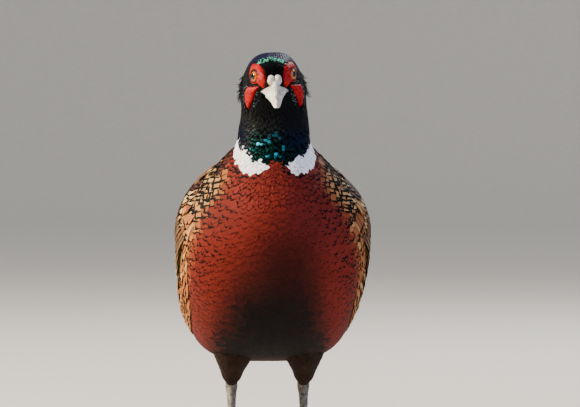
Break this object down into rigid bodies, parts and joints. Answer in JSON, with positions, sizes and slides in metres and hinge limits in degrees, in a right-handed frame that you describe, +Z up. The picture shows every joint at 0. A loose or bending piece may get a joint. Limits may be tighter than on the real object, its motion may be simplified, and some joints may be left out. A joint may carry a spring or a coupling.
{
  "type": "cock common pheasant",
  "caption": "Life-size still model of a standing cock pheasant facing forward, neck raised, wings folded, long barred tail behind.",
  "frame": {"origin": "on the floor, under the middle of the bird's box from breast to tail tip", "axes": "the bird faces -Y, its own left side is +X, and +Z is up"},
  "size_m": [0.1752, 0.7296, 0.371],
  "materials": {
    "breast_plumage": "copper-red body feathers, satin",
    "collar_plumage": "white body feathers, matt",
    "neck_plumage": "iridescent green-black feathers",
    "face_skin": "bare red skin, velvety",
    "bill_horn": "pale horn, satin",
    "eye_gloss": "orange iris under a wet cornea",
    "wing_plumage": "buff and brown vanes, matt",
    "tail_plumage": "barred buff-brown vanes, matt",
    "thigh_plumage": "dark brown soft feathers",
    "leg_scales": "grey horny scales",
    "claw_horn": "dark horn, satin"
  },
  "bodies": {
    "root": {"torso": "breast_plumage", "collar": "collar_plumage", "neck": "neck_plumage", "head": "neck_plumage", "bill_upper": "bill_horn", "bill_lower": "bill_horn", "tail": "tail_plumage", "eye_left": "eye_gloss", "wattle_left": "face_skin", "wing_left": "wing_plumage", "thigh_left": "thigh_plumage", "shank_left": "leg_scales", "foot_left": "leg_scales", "claw_middle_left": "claw_horn", "claw_inner_left": "claw_horn", "claw_outer_left": "claw_horn", "claw_hind_left": "claw_horn", "eye_right": "eye_gloss", "wattle_right": "face_skin", "wing_right": "wing_plumage", "thigh_right": "thigh_plumage", "shank_right": "leg_scales", "foot_right": "leg_scales", "claw_middle_right": "claw_horn", "claw_inner_right": "claw_horn", "claw_outer_right": "claw_horn", "claw_hind_right": "claw_horn", "spur_left": "claw_horn", "spur_right": "claw_horn"}
  },
  "joints": []
}
